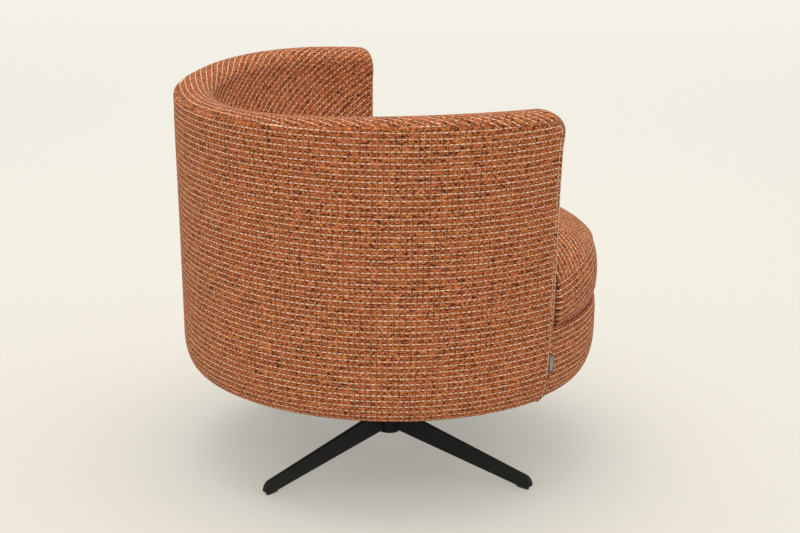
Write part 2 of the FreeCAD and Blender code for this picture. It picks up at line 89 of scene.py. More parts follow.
class Shader:
    # one material: its tree, its Principled shader and short ways to add nodes
    def __init__(self, name, surface):
        self.material = bpy.data.materials.new(name)
        self.material.use_nodes = True
        self.tree = self.material.node_tree
        self.principled = self.tree.nodes["Principled BSDF"]
        for socket, value in surface.items():
            self.surface(socket, value)

    def feed(self, socket, value):
        if isinstance(value, Value):
            value = value.socket
        if isinstance(value, bpy.types.NodeSocket):
            self.tree.links.new(value, socket)
        else:
            socket.default_value = value

    def surface(self, socket, value):
        self.feed(self.principled.inputs[socket], value)

    def node(self, kind, settings=None, sockets=None):
        made = self.tree.nodes.new("ShaderNode" + kind)
        for key, value in (settings or {}).items():
            if key == "stops":
                elements = made.color_ramp.elements
                while len(elements) < len(value):
                    elements.new(0.5)
                for element, (place, colour) in zip(elements, value):
                    element.position = place
                    element.color = (*colour, 1)
            else:
                setattr(made, key, value)
        for key, value in (sockets or {}).items():
            self.feed(made.inputs[key], value)
        return made

    def math(self, operation, *values):
        made = self.node("Math", {"operation": operation}, dict(enumerate(values)))
        return Value(self, made.outputs[0])

    def mix(self, factor, *ends):
        first, second = [(*end, 1) if isinstance(end, tuple) else end for end in ends]
        made = self.node("Mix", {"data_type": "RGBA"}, {0: factor, 6: first, 7: second})
        return made.outputs[2]

    def ramp(self, value, stops):
        return self.node("ValToRGB", {"stops": stops}, {0: value}).outputs[0]

    def noise(self, place, scale, detail=2.0, roughness=0.5):
        made = self.node("TexNoise", None, {"Vector": place, "Scale": scale, "Detail": detail,
                                            "Roughness": roughness})
        return Value(self, made.outputs[0])

    def streaks(self, axes, scales, detail=2.0, roughness=0.5):
        # noise with a scale of its own along each axis
        place = self.vector(*[axis * scale for axis, scale in zip(axes, scales)])
        return self.noise(place, 1.0, detail, roughness)

    def random(self, place):
        made = self.node("TexWhiteNoise", None, {"Vector": place})
        return Value(self, made.outputs["Value"])

    def smooth(self, value, low, high):
        made = self.node("MapRange", {"interpolation_type": "SMOOTHSTEP"},
                         {0: value, 1: low, 2: high, 3: 0.0, 4: 1.0})
        return Value(self, made.outputs[0])

    def vector(self, x, y=0.0, z=0.0):
        return self.node("CombineXYZ", None, {0: x, 1: y, 2: z}).outputs[0]

    def split(self, socket):
        outputs = self.node("SeparateXYZ", None, {0: socket}).outputs
        return [Value(self, out) for out in outputs]

    def objectPlace(self):
        return self.node("TexCoord").outputs["Object"]

    def attribute(self, name):
        return self.node("Attribute", {"attribute_name": name}).outputs["Vector"]

    def bump(self, height, distance, strength=1.0):
        made = self.node("Bump", None, {"Height": height, "Distance": distance,
                                        "Strength": strength})
        self.surface("Normal", made.outputs[0])


# Cloth: rust ground of short slubby yarns, rows of pale dashes and faint pale warp threads

weave = {
    "surface": {"Roughness": 0.92, "Specular IOR Level": 0.12, "Sheen Weight": 0.04,
                "Sheen Roughness": 0.45, "Sheen Tint": (1.0, 0.74, 0.50, 1)},
    "stray": (0.0012, 0.0010),  # how far yarns wander, along and across
    "yarnPitch": 0.0019,
    "slubLength": 0.0031,
    "slubSlide": 7.0,  # most that a row of slubs is moved on, in slubs
    "gapShade": 0.50,
    "holeShade": 0.80,
    "warpHalf": 0.00045,
    "warpPlace": 0.16,  # share of the dash pitch
    "warpStrength": 0.70,
    "rowPitch": 0.0096,
    "dashPitch": 0.0089,
    "dashPlace": 0.58,  # this, the length and the shift are shares of the pitch
    "dashLength": 0.60,
    "dashShift": 0.16,
    "dashHalf": 0.00105,
    "dashStrength": 0.94,
    "relief": 0.0007,
    "ground": [(0.0, (0.034, 0.008, 0.003)), (0.20, (0.124, 0.030, 0.009)),
               (0.32, (0.385, 0.097, 0.028)), (0.48, (0.495, 0.134, 0.040)),
               (0.62, (0.330, 0.078, 0.026)), (0.72, (0.640, 0.188, 0.032)),
               (0.82, (0.680, 0.168, 0.120)), (0.90, (0.840, 0.292, 0.026)),
               (0.96, (0.680, 0.330, 0.160))],
    "dash": [(0.0, (0.56, 0.28, 0.17)), (0.35, (0.80, 0.46, 0.30)),
             (0.75, (0.94, 0.64, 0.45)), (1.0, (0.98, 0.78, 0.60))],
    "warp": (0.58, 0.33, 0.16),
    "shade": (0.022, 0.007, 0.003),
}
# third cloth coordinate, which gives each panel slubs of its own
panelNumber = {"outside": 1.0, "inside": 2.0, "apron": 3.0, "cushionTop": 4.0, "cushionSide": 5.0}


def makeWovenCloth():
    shader = Shader("rustWeave", weave["surface"])
    cloth = shader.attribute("cloth")
    along, across, panel = shader.split(cloth)
    along = along + (shader.noise(cloth, 55.0) - 0.5) * weave["stray"][0]
    across = across + (shader.noise(cloth, 38.0, 1.0) - 0.5) * weave["stray"][1]

    # ground yarns, laid in rows with every slub its own colour
    yarn = across / weave["yarnPitch"]
    yarnRow = yarn.math("FLOOR")
    slide = shader.random(shader.vector(yarnRow, 3.0))
    slub = along / weave["slubLength"] + slide * weave["slubSlide"]
    tone = shader.random(shader.vector(slub.math("FLOOR"), yarnRow, panel))
    fine = shader.streaks((along, across), (900.0, 2400.0), 3.0, 0.65)
    patch = shader.noise(cloth, 60.0, 3.0, 0.6)
    ground = shader.ramp(tone * 0.86 + (fine - 0.5) * 0.30 + (patch - 0.5) * 0.35 + 0.05,
                         weave["ground"])

    # gaps between yarns lie in shadow
    yarnEdge = yarn.ridge()
    slubEdge = slub.ridge()
    gap = shader.smooth(yarnEdge, 0.55, 1.0) * 0.45 + shader.smooth(slubEdge, 0.8, 1.0) * 0.3
    holes = shader.streaks((along, across), (420.0, 520.0), 2.0, 0.6)
    deep = shader.smooth(holes, 0.565, 0.655)
    ground = shader.mix(gap * weave["gapShade"] + deep * weave["holeShade"], ground, weave["shade"])

    # faint warp threads come and go; where one dips under, its edges lie in shadow
    warp = along / weave["dashPitch"]
    warpAway = abs((warp % 1.0) - weave["warpPlace"]) * weave["dashPitch"]
    warpSeen = shader.streaks((warp.math("FLOOR"), across), (5.7, 140.0))
    warpMask = 1.0 - shader.smooth(warpAway, weave["warpHalf"] * 0.5, weave["warpHalf"] * 1.6)
    warpMask = warpMask * shader.smooth(warpSeen, 0.36, 0.58) * weave["warpStrength"]
    beside = shader.smooth(warpAway, 0.0006, 0.0010) * (1.0 - shader.smooth(warpAway, 0.0014, 0.0022))
    ground = shader.mix(beside * shader.smooth(warpSeen, 0.62, 0.42) * 0.45, ground, weave["shade"])
    ground = shader.mix(warpMask, ground, weave["warp"])

    # pale dashes, bellied in the middle, with a thin line carried on between them
    row = across / weave["rowPitch"]
    rowIndex = row.math("FLOOR")
    dash = warp + shader.random(shader.vector(rowIndex, 11.0, 2.0)) * weave["dashShift"]
    chance = shader.random(shader.vector(dash.math("FLOOR"), rowIndex, 5.0))
    rowAway = abs((row % 1.0) - 0.5) * weave["rowPitch"]
    dashAway = abs((dash % 1.0) - weave["dashPlace"])
    halfLength = weave["dashLength"] * 0.5 + (chance - 0.5) * 0.10
    ends = 1.0 - shader.smooth(dashAway - halfLength, -0.07, 0.05)
    bellied = weave["dashHalf"] * (1.10 - dashAway * dashAway * 2.4)
    belly = 1.0 - shader.smooth(rowAway - bellied, -0.00045, 0.00025)
    carried = 1.0 - shader.smooth(rowAway, 0.00030, 0.00085)
    dashMask = (ends * belly).math("MAXIMUM", carried * 0.38)
    dashTone = shader.streaks((along, across), (520.0, 900.0))
    dashColour = shader.ramp(chance * 0.6 + dashTone * 0.7 - 0.12, weave["dash"])
    rowShadow = 1.0 - shader.smooth(rowAway, 0.0016, 0.0026)
    ground = shader.mix(rowShadow * 0.30 * ends, ground, weave["shade"])
    shader.surface("Base Color", shader.mix(dashMask * weave["dashStrength"], ground, dashColour))

    height = (1.0 - yarnEdge * yarnEdge) * 0.45 + (1.0 - slubEdge * slubEdge) * 0.20
    height = height * (1.0 - dashMask) + dashMask * 1.35 + fine * 0.25 - deep * 0.35
    shader.bump(height + warpMask * 0.25, weave["relief"], 0.85)
    return shader.material


def makeMottled(name, look):
    # a plain finish: darker and paler patches, and a grain in the relief
    shader = Shader(name, look["surface"])
    place = shader.objectPlace()
    patches = shader.noise(place, *look["patches"])
    shader.surface("Base Color", shader.mix(patches, look["dark"], look["pale"]))
    if "gloss" in look:
        shader.surface("Roughness", look["gloss"][0] + patches * look["gloss"][1])
    shader.bump(shader.noise(place, *look["grain"]), *look["relief"])
    return shader.material


rustWeave = makeWovenCloth()
print("materials: cloth")


# Mesh kit

def smoothStep(value, low, high):
    share = np.clip((value - low) / (high - low), 0, 1)
    return share * share * (3 - 2 * share)


def roundedPower(value, power):
    return np.sign(value) * np.abs(value) ** power


def roundPoints(angle, height, radius):
    return np.stack([radius * np.sin(angle), radius * np.cos(angle), height + 0 * angle], axis=-1)


def summed(steps, axis=0):
    # running total that starts at 0
    return np.insert(np.cumsum(steps, axis=axis), 0, 0, axis=axis)


def runAlong(line):
    # distance from the start of a line to each of its points
    return summed(np.linalg.norm(np.diff(line, axis=0), axis=1))


def fullTurn(count):
    return np.linspace(0, 2 * math.pi, count, endpoint=False)


def clothPlace(along, across, panel):
    return np.stack([along, across, panelNumber[panel] + 0 * along], axis=-1)


def gridFaces(rows, columns, offset=0, closed=False):
    faces = []
    for i in range(rows - 1):
        for j in range(columns if closed else columns - 1):
            k = (j + 1) % columns
            faces.append((offset + i * columns + j, offset + i * columns + k,
                          offset + (i + 1) * columns + k, offset + (i + 1) * columns + j))
    return faces


def tubeFaces(rows, columns):
    # a closed grid with a cap on both ends
    last = (rows - 1) * columns
    caps = [tuple(range(columns)), tuple(range(last, last + columns))]
    return gridFaces(rows, columns, closed=True) + caps


def addToScene(name, data):
    added = bpy.data.objects.new(name, data)
    bpy.context.scene.collection.objects.link(added)
    return added


def meshPiece(name, points, faces, cloth, material, domain="POINT"):
    # points and cloth may come as grids; every piece made here rides on the seat
    mesh = bpy.data.meshes.new(name)
    mesh.from_pydata(np.reshape(points, (-1, 3)).tolist(), [], faces)
    mesh.update()
    layer = mesh.attributes.new("cloth", "FLOAT_VECTOR", domain)
    layer.data.foreach_set("vector", np.asarray(cloth, dtype=np.float32).ravel())
    mesh.materials.append(material)
    mesh.polygons.foreach_set("use_smooth", [True] * len(mesh.polygons))
    piece = addToScene(name, mesh)
    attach(piece, "seat")
    return piece


def cleanMesh(piece, weld=0.0):
    # faces look outward, and points closer than weld become one
    work = bmesh.new()
    work.from_mesh(piece.data)
    if weld:
        bmesh.ops.remove_doubles(work, verts=work.verts, dist=weld)
        bmesh.ops.dissolve_degenerate(work, edges=work.edges, dist=weld)
    bmesh.ops.recalc_face_normals(work, faces=work.faces)
    work.to_mesh(piece.data)
    work.free()


def thicken(piece, thickness):
    solid = piece.modifiers.new("thickness", "SOLIDIFY")
    solid.thickness = thickness
    solid.offset = -1
    solid.use_even_offset = False


# Tub: the padded wall of back and arms

tub = {
    "bottom": 0.1755,
    "platform": 0.297,
    "rimSection": (0.304, 0.370),  # inner and outer radius at the rim
    "crestBack": 0.6526,
    "crestLift": (0.0368, -0.023),  # how the crest rises towards the arms
    "crownTop": 0.0245,  # height of the rim's roll
    "crownEnd": 0.0135,  # depth of the arm front's roll
    "rollPowers": (2.15, 5.0),  # how square the roll is, at the rim and the arm front
    "frontHeights": [0.175, 0.288, 0.394, 0.536, 0.620, 0.700],
    "frontAngles": [109.4, 110.4, 110.3, 110.2, 110.4, 110.5],
    "endPower": 8,  # columns near the arm fronts lean as those do
    "cornerHeight": 0.62,
    "innerCorner": (0.014, 0.020),  # run and drop of the arms' rounded top corner
    "outerCorner": (0.014, 0.018),
    "cornerPower": 0.86,
    "cornerLump": 0.8,  # degrees that folded cloth stands out at that corner
    "lumpHeight": 0.632,
    "lumpReach": 0.016,
    "hemRun": 0.020,
    "hemRise": 0.053,
    "hemTuck": 0.93,  # the hem's last row, turned in under the tub
    "sideFoot": 0.3615,  # outer radius above the hem
    "sideTop": 0.370,
    "sideTopHeight": 0.640,
    "buriedRadius": 0.331,  # inner radius of the arm fronts below the platform
    "seamAtBack": 0.0150,  # seam line, measured like the rolls' height
    "seamAtArm": 0.0040,
    "seamAtEnd": 0.0030,
    "seamChange": (math.radians(70), math.radians(104)),  # from the back's to the arms'
    "seamDip": 0.0014,
    "seamReach": 0.0032,
    "swells": (0.0010, 0.0006),  # heights of the broad and the narrow ones
    "thickness": 0.0024,
    "rowAngle": math.radians(35.0),  # the inside panel's rows climb towards the arms
    "rowTurn": (math.radians(4.0), math.radians(64.0)),  # where they bend up
    "clothRadius": 0.368,
}
tubRows = {"side": 62, "corner": 26, "crest": 178, "roll": 40, "well": 56, "hem": 12, "outside": 78}
well = {
    "heights": [0.297, 0.460, 0.590, 0.639, 0.720],
    "radii": [0.235, 0.258, 0.300, 0.304, 0.304],
    "centres": [-0.038, -0.038, -0.006, 0.0, 0.0],
    "creaseBlend": 0.022,
}
middleRadius = sum(tub["rimSection"]) / 2


def crestHeight(angle):
    turn = 1 - np.cos(angle)
    return tub["crestBack"] + tub["crestLift"][0] * turn + tub["crestLift"][1] * turn ** 2


def inWell(height, row):
    # linear between the given heights, with the creases blended out
    spread = np.linspace(-well["creaseBlend"], well["creaseBlend"], 7)
    return sum(np.interp(height + d, well["heights"], well[row]) for d in spread) / len(spread)


def circleReach(angle, centre, radius):
    # distance from the chair's axis to a circle whose centre lies off it, at an angle
    return centre * np.cos(angle) + np.sqrt(radius ** 2 - (centre * np.sin(angle)) ** 2)


def wellRadius(angle, height):
    return circleReach(angle, inWell(height, "centres"), inWell(height, "radii"))


def outerRadius(height):
    foot = tub["bottom"] + tub["hemRise"]
    share = np.clip((height - foot) / (tub["sideTopHeight"] - foot), 0, 1)
    return tub["sideFoot"] + (tub["sideTop"] - tub["sideFoot"]) * share


def hemRadius(height):
    # outer radius with the rounded lower edge
    drop = np.clip((tub["bottom"] + tub["hemRise"] - height) / tub["hemRise"], 0, 1)
    return outerRadius(height) - tub["hemRun"] * (1 - np.sqrt(1 - drop ** 2))


def frontAngle(height):
    return np.radians(np.interp(height, tub["frontHeights"], tub["frontAngles"]))


def seamPull(distance):
    # how far the seam draws the cloth in, by the distance from it
    return tub["seamDip"] * np.exp(-(distance / tub["seamReach"]) ** 2)


def leanEnds(top, lean):
    # upright columns in the back, which follow the arm fronts towards the ends
    return top * (1 - (1 - lean) * np.abs(top / top[:, :1]) ** tub["endPower"])


def edgePath(corner, lump):
    # the line where the rolled edge begins, as (distance round, height), left foot to right foot
    run, drop = corner

    def endPlace(height):
        bump = np.exp(-((height - tub["lumpHeight"]) / tub["lumpReach"]) ** 2)
        angle = frontAngle(height) + math.radians(lump) * bump
        return middleRadius * angle - tub["crownEnd"]
    cornerTop = crestHeight(frontAngle(tub["cornerHeight"])) - tub["crownTop"]
    cornerFoot = cornerTop - drop
    heights = np.linspace(tub["bottom"], cornerFoot, tubRows["side"])
    side = [(-endPlace(h), h) for h in heights[:-1]]
    cornerStart = endPlace(cornerFoot) - run
    turned = []
    for angle in np.linspace(0, math.pi / 2, tubRows["corner"]):
        place = cornerStart + run * math.cos(angle) ** tub["cornerPower"]
        height = cornerFoot + drop * math.sin(angle) ** tub["cornerPower"]
        place += endPlace(height) - endPlace(cornerFoot)
        lift = crestHeight(place / middleRadius) - tub["crownTop"] - cornerTop
        turned.append((-place, height + lift * math.sin(angle)))
    last = -turned[-1][0]
    across = np.linspace(-last, last, tubRows["crest"])[1:-1]
    top = [(a, crestHeight(a / middleRadius) - tub["crownTop"]) for a in across]
    left = side + turned
    right = [(-a, h) for a, h in reversed(left)]
    return np.array(left + top + right), len(side)


def pathNormals(path):
    step = np.gradient(path, axis=0)
    normal = np.stack([-step[:, 1], step[:, 0]], axis=1)
    for _ in range(2):
        normal[1:-1] = (normal[:-2] + 2 * normal[1:-1] + normal[2:]) / 4
    return normal / np.linalg.norm(normal, axis=1, keepdims=True)


turnPlaces = np.linspace(0, math.radians(150), 600)
turnTilt = tub["rowAngle"] * smoothStep(turnPlaces, *tub["rowTurn"])
turnStep = turnPlaces[1] * tub["rimSection"][0]
turnClimb = summed(np.sin(turnTilt[:-1])) * turnStep
turnRun = summed(np.cos(turnTilt[:-1])) * turnStep


def insidePanelCloth(around, height):
    # cloth coordinates of the inside panel: its rows are level at the back and climb each way
    angle = around / middleRadius
    turned = np.abs(angle)
    tilt = np.interp(turned, turnPlaces, turnTilt)
    depth = height - tub["crestBack"]
    across = depth * np.cos(tilt) - np.interp(turned, turnPlaces, turnClimb)
    along = (np.interp(turned, turnPlaces, turnRun) + depth * np.sin(tilt)) * np.sign(angle)
    return clothPlace(along, across, "inside")


path, cornerIndex = edgePath(tub["innerCorner"], 0.0)
outerPath, _ = edgePath(tub["outerCorner"], tub["cornerLump"])
topRange = slice(cornerIndex, len(path) - cornerIndex)


def rolledEdge():
    # points of the rolled edge: rows follow the path, columns go over from inside to outside
    placeIn, heightIn = path[:, :1], path[:, 1:]
    placeOut, heightOut = outerPath[:, :1], outerPath[:, 1:]
    normals = pathNormals(path + outerPath)
    sideways, upward = normals[:, :1], normals[:, 1:]
    upness = upward ** 2
    endness = 1 - upness
    towardsArm = smoothStep(np.abs(placeIn) / middleRadius, *tub["seamChange"])
    atTop = tub["seamAtBack"] + (tub["seamAtArm"] - tub["seamAtBack"]) * towardsArm
    crown = tub["crownTop"] * upness + tub["crownEnd"] * endness
    seam = atTop * upness + tub["seamAtEnd"] * endness
    power = 2 / (tub["rollPowers"][0] * upness + tub["rollPowers"][1] * endness)
    inner = wellRadius(placeIn / middleRadius, heightIn)
    buried = smoothStep(tub["platform"] - heightIn, -0.004, 0.004)
    inner = inner * (1 - buried) + tub["buriedRadius"] * buried
    outer = hemRadius(heightOut)
    # columns stand a little closer together over the crown of the roll
    last = math.pi - np.arcsin((seam / crown) ** (1 / power))
    share = np.linspace(0, 1, tubRows["roll"])[None, :]
    share = share + 0.10 * np.sin(2 * math.pi * share) / (2 * math.pi)
    turn = last * share
    over = (1 - np.cos(turn)) / 2
    radius = (inner + outer) / 2 - (outer - inner) / 2 * roundedPower(np.cos(turn), power)
    lift = crown * roundedPower(np.sin(turn), power)
    start = placeIn * (1 - over) + placeOut * over
    foot = heightIn * (1 - over) + heightOut * over
    around = start + sideways * lift
    height = foot + upward * lift
    section = np.hypot(np.diff(radius, axis=1), np.diff(lift, axis=1))
    length = summed(section, 1)
    toSeam = length[:, -1:] - length
    radius = radius - seamPull(toSeam)
    cloth = insidePanelCloth(start + sideways * length, foot + upward * length)
    seamLine = np.stack([around[:, -1], height[:, -1], radius[:, -1]], axis=1)
    return roundPoints(around / middleRadius, height, radius), cloth, seamLine, toSeam


def makeInsidePanel():
    edge, edgeCloth, seamLine, toSeam = rolledEdge()
    # the face inside the well hangs from the same line
    topPath = path[topRange]
    share = np.linspace(0, 1, tubRows["well"])[:, None]
    floor = tub["platform"] - 0.001
    height = floor + (topPath[None, :, 1] - floor) * share
    endTop = path[cornerIndex, 1]
    lean = frontAngle(np.minimum(height, endTop)) * middleRadius - tub["crownEnd"]
    lean = lean / (frontAngle(endTop) * middleRadius - tub["crownEnd"])
    around = leanEnds(topPath[None, :, 0], lean)
    angle = around / middleRadius
    face = roundPoints(angle, height, wellRadius(angle, height))
    points = np.concatenate([edge.reshape(-1, 3), face.reshape(-1, 3)])
    cloth = np.concatenate([edgeCloth.reshape(-1, 3),
                            insidePanelCloth(around, height).reshape(-1, 3)])
    faces = gridFaces(*edge.shape[:2])
    faces += gridFaces(*face.shape[:2], edge.shape[0] * edge.shape[1])
    piece = meshPiece("insidePanel", points, faces, cloth, rustWeave)
    cleanMesh(piece, 0.0004)
    return piece, seamLine, edge, toSeam


def makeOutsidePanel(seamLine):
    top = seamLine[topRange]
    side = seamLine[:cornerIndex + 1]
    endTop = side[-1, 1]
    turns = np.linspace(0, math.pi / 2, tubRows["hem"])
    hemHeights = tub["bottom"] + tub["hemRise"] * (1 - np.cos(turns))
    foot = hemHeights[-1]
    rise = 1 - (1 - np.linspace(0, 1, tubRows["outside"])) ** 1.35  # closer towards the seam
    height = np.concatenate([np.repeat(hemHeights[:, None], len(top), axis=1)[:-1],
                             foot + (top[None, :, 1] - foot) * rise[:, None]])
    endAround = np.interp(np.minimum(height, endTop), side[:, 1], side[:, 0])
    around = leanEnds(top[None, :, 0], endAround / side[-1, 0])
    radius = hemRadius(height)
    toTop = top[None, :, 1] - height
    toSide = np.abs(endAround) - np.abs(around)
    radius = radius - np.maximum(seamPull(toTop), seamPull(np.maximum(toSide, 0)))
    # the last row and the end columns are sewn to the inside panel
    radius[-1] = top[:, 2]
    sewn = np.interp(np.minimum(height[:, 0], endTop), side[:, 1], side[:, 2])
    radius[:, 0] = sewn
    radius[:, -1] = sewn
    # slack of a sewn cover: low swells between its seams
    swell = tub["swells"][0] * np.sin(around * 9.0 + 1.3) * np.sin(height * 14.0 + 0.4)
    swell = swell + tub["swells"][1] * np.sin(around * 23.0 + height * 17.0)
    calm = smoothStep(toTop, 0.01, 0.07) * smoothStep(toSide, 0.01, 0.07)
    radius = radius + swell * calm * smoothStep(height, 0.20, 0.26)
    angle = around / middleRadius
    points = roundPoints(angle, height, radius)
    tuck = points[0] * np.array([tub["hemTuck"], tub["hemTuck"], 1.0]) - np.array([0, 0, 0.0006])
    points = np.concatenate([tuck[None], points])
    climbed = summed(np.hypot(np.diff(radius, axis=0), np.diff(height, axis=0)))
    onward = np.where(height < foot, climbed - climbed[len(hemHeights) - 1] + foot, height)
    across = np.concatenate([onward[:1] - 0.024, onward])
    along = np.concatenate([angle[:1], angle]) * tub["clothRadius"]
    piece = meshPiece("outsidePanel", points, gridFaces(*points.shape[:2]),
                      clothPlace(along, across, "outside"), rustWeave)
    piece.data.flip_normals()
    return piece


insidePanel, seamLine, edgeGrid, edgeToSeam = makeInsidePanel()
outsidePanel = makeOutsidePanel(seamLine)
for panel in (insidePanel, outsidePanel):
    thicken(panel, tub["thickness"])
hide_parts("inner_cover", "back_foam")
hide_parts("outer_cover")
print("tub panels")


# Pale thread down the front seam of each arm: one line in the seam, one on the folded edge

thread = {
    "radius": 0.0012,
    "waist": 0.45,  # share of the radius left where a stitch goes in
    "stitch": 0.0072,
    "setOff": 0.0082,  # second line's distance from the seam
    "proud": 0.0002,
    "foot": 0.180,
    "secondFoot": 0.302,
    "top": 0.640,
    "sides": 6,
    "perStitch": 6,
    "surface": {"Roughness": 0.7},
    "dark": (0.62, 0.37, 0.24),
    "pale": (0.90, 0.66, 0.48),
    "patches": (900.0,),
    "grain": (900.0,),
    "relief": (0.0003,),
}


def threadTube(line):
    # beads of thread along a line of points on the tub
    run = runAlong(line)
    count = int(run[-1] / thread["stitch"]) * thread["perStitch"]
    places = np.linspace(0, run[-1], count)
    line = np.stack([np.interp(places, run, line[:, k]) for k in range(3)], axis=1)
    ahead = np.gradient(line, axis=0)
    ahead /= np.linalg.norm(ahead, axis=1, keepdims=True)
    out = line * np.array([1.0, 1.0, 0.0])
    out /= np.linalg.norm(out, axis=1, keepdims=True)
    beside = np.cross(ahead, out)
    beat = np.abs(np.sin(math.pi * places / thread["stitch"]))
    radius = thread["radius"] * (thread["waist"] + (1 - thread["waist"]) * beat)
    line = line + out * thread["proud"]
    rings = []
    for turn in fullTurn(thread["sides"]):
        rings.append(line + (out * math.cos(turn) + beside * math.sin(turn)) * radius[:, None])
    return np.stack(rings, axis=1).reshape(-1, 3), tubeFaces(count, thread["sides"])


def makeThread():
    half = len(edgeGrid) // 2
    points, faces, count = [], [], 0
    for rows in (slice(0, half), slice(None, half, -1)):
        for distance, foot in ((0.0, thread["foot"]), (thread["setOff"], thread["secondFoot"])):
            line = []
            for row, lengths in zip(edgeGrid[rows], edgeToSeam[rows]):
                line.append([np.interp(-distance, -lengths, row[:, k]) for k in range(3)])
            line = np.array(line)
            line = line[:np.argmax(line[:, 2] > thread["top"])]
            tube, sides = threadTube(line[line[:, 2] > foot])
            points.append(tube)
            faces += [tuple(v + count for v in face) for face in sides]
            count += len(tube)
    points = np.concatenate(points)
    piece = meshPiece("seamThread", points, faces, np.zeros_like(points),
                      makeMottled("stitchThread", thread))
    cleanMesh(piece)


makeThread()
print("seam thread")


# Blank tape tab, folded in half and caught in the near arm's front seam

tab = {
    "foot": 0.2285,
    "height": 0.0300,
    "width": 0.0078,
    "thickness": 0.0017,
    "radius": 0.3634,
    "start": math.radians(-108.35),
    "lift": 0.0012,  # how far the free edge curls away
    "edgePower": 0.35,
    "rows": 14,
    "columns": 28,
    "dark": (0.190, 0.183, 0.176),
    "pale": (0.38, 0.37, 0.36),
    # colour of the painted shade along the tab's edges
    "rim": (0.075, 0.070, 0.066),
    "ribPitch": 0.0009,
    "threadPitch": 0.0011,
}


def makeTabCloth():
    shader = Shader("greyTape", {"Roughness": 0.85})
    place = shader.objectPlace()
    x, y, z = shader.split(place)
    rib = (z / tab["ribPitch"]).ridge()
    cross = ((x + y) / tab["threadPitch"]).ridge()
    worn = shader.noise(place, 160.0, 3.0)
    across, up = shader.split(shader.attribute("cloth"))[:2]
    # painted shade: the tab darkens all round its edges
    rim = shader.smooth(abs(across - 0.5).math("MAXIMUM", abs(up - 0.5) - 0.02), 0.26, 0.46)
    colour = shader.mix(worn * 0.6 + rib * 0.3, tab["dark"], tab["pale"])
    shader.surface("Base Color", shader.mix(rim * 0.75, colour, tab["rim"]))
    shader.bump(rib * 0.6 + cross * 0.4, 0.00025)
    return shader.material


def makeTab():
    turns = fullTurn(tab["columns"])
    across = (roundedPower(np.cos(turns), tab["edgePower"]) + 1) / 2
    outward = roundedPower(np.sin(turns), tab["edgePower"]) * tab["thickness"] / 2
    angle = tab["start"] - across * tab["width"] / tab["radius"]
    points, cloth = [], []
    for share in np.linspace(0, 1, tab["rows"]):
        curl = tab["lift"] * across ** 2 * (1 + 0.6 * math.sin(2.2 * share))
        points.append(roundPoints(angle, tab["foot"] + tab["height"] * share,
                                  tab["radius"] + outward + curl))
        cloth.append(np.stack([across, share + 0 * across, 0 * across], axis=1))
    piece = meshPiece("tapeTab", points, tubeFaces(tab["rows"], tab["columns"]), cloth,
                      makeTabCloth())
    cleanMesh(piece)
    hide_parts("seam_tab")


makeTab()
print("tab")


# Front apron under the cushion

apron = {
    "radius": 0.357,
    "bottom": 0.1745,
    "top": 0.297,
    "hemRun": 0.024,
    "hemRise": 0.062,
    "hemTuck": 0.022,
    "topRound": 0.010,
    "underCushion": 0.030,
    "sideGap": 0.002,  # from the arm fronts, in radians
    "thickness": 0.0024,
    "swell": 0.0008,
    "clothFoot": 0.164,
    "rows": 12,
    "columns": 140,
}


def makeApron():
    turns = np.linspace(0, math.pi / 2, apron["rows"])
    shoulder = apron["top"] - apron["topRound"]
    profile = [(apron["radius"] - apron["hemRun"] - apron["hemTuck"], apron["bottom"])]
    profile += [(apron["radius"] - apron["hemRun"] * (1 - math.sin(t)),
                 apron["bottom"] + apron["hemRise"] * (1 - math.cos(t))) for t in turns]
    profile += [(apron["radius"], h) for h in
                np.linspace(apron["bottom"] + apron["hemRise"], shoulder, apron["rows"])[1:-1]]
    profile += [(apron["radius"] - apron["topRound"] * (1 - math.cos(t)),
                 shoulder + apron["topRound"] * math.sin(t)) for t in turns[::2]]
    profile.append((apron["radius"] - apron["underCushion"], apron["top"] - 0.0005))
    points, cloth = [], []
    for (radius, height), distance in zip(profile, runAlong(profile)):
        start = float(frontAngle(height)) + apron["sideGap"]
        angles = start + (2 * math.pi - 2 * start) * np.linspace(0, 1, apron["columns"])
        swell = apron["swell"] * np.sin(angles * 5.0 + height * 30.0) * (0.2 < height < 0.28)
        points.append(roundPoints(angles, height, radius + swell))
        cloth.append(clothPlace(angles * apron["radius"],
                                distance + apron["clothFoot"] + 0 * angles, "apron"))
    piece = meshPiece("apronPanel", points, gridFaces(len(profile), apron["columns"]), cloth,
                      rustWeave)
    piece.data.flip_normals()
    thicken(piece, apron["thickness"])
    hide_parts("apron_cover")


makeApron()
print("apron")


# Loose cushion

